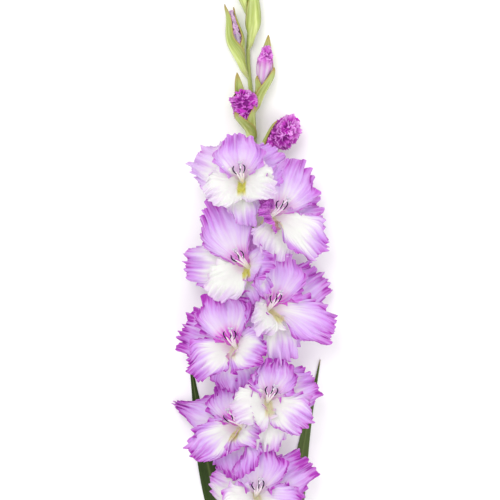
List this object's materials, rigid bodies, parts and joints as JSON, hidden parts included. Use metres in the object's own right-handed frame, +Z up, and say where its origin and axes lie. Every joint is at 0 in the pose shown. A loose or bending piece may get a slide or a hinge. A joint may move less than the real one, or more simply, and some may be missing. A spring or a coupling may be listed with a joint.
{
  "type": "gladiolus flower spike",
  "caption": "Cut flower spike lying on its back: open frilled trumpet florets in two ranks on one stem, buds towards the tip, and sword leaves that clasp the stem's foot.",
  "frame": {"origin": "flat spot under the stem on which the spike rests, near its centre of weight", "axes": "+Y runs up the spike to its tip, +Z points up from the surface it lies on, the way the flowers face, and +X is to the right for someone looking down on the flowers"},
  "size_m": [0.1721, 0.8845, 0.0841],
  "materials": {
    "stem_green": "satin",
    "petal_lilac": "satin",
    "bud_magenta": "satin",
    "stamen_white": "satin",
    "leaf_dark_green": "satin",
    "leaf_olive": "satin"
  },
  "bodies": {
    "root": {"stem_with_bracts": "stem_green", "floret_1_petals": "petal_lilac", "floret_1_stamens": "stamen_white", "floret_2_petals": "petal_lilac", "floret_2_stamens": "stamen_white", "floret_3_petals": "petal_lilac", "floret_3_stamens": "stamen_white", "floret_4_petals": "petal_lilac", "floret_4_stamens": "stamen_white", "floret_5_petals": "petal_lilac", "floret_5_stamens": "stamen_white", "floret_6_petals": "petal_lilac", "floret_6_stamens": "stamen_white", "floret_7_petals": "petal_lilac", "floret_7_stamens": "stamen_white", "floret_8_petals": "petal_lilac", "floret_8_stamens": "stamen_white", "bud_1_petals": "bud_magenta", "bud_2_petals": "bud_magenta", "bud_3_petals": "bud_magenta", "bud_4_petals": "bud_magenta", "leaf_left": "leaf_dark_green", "leaf_right": "leaf_olive"}
  },
  "joints": []
}
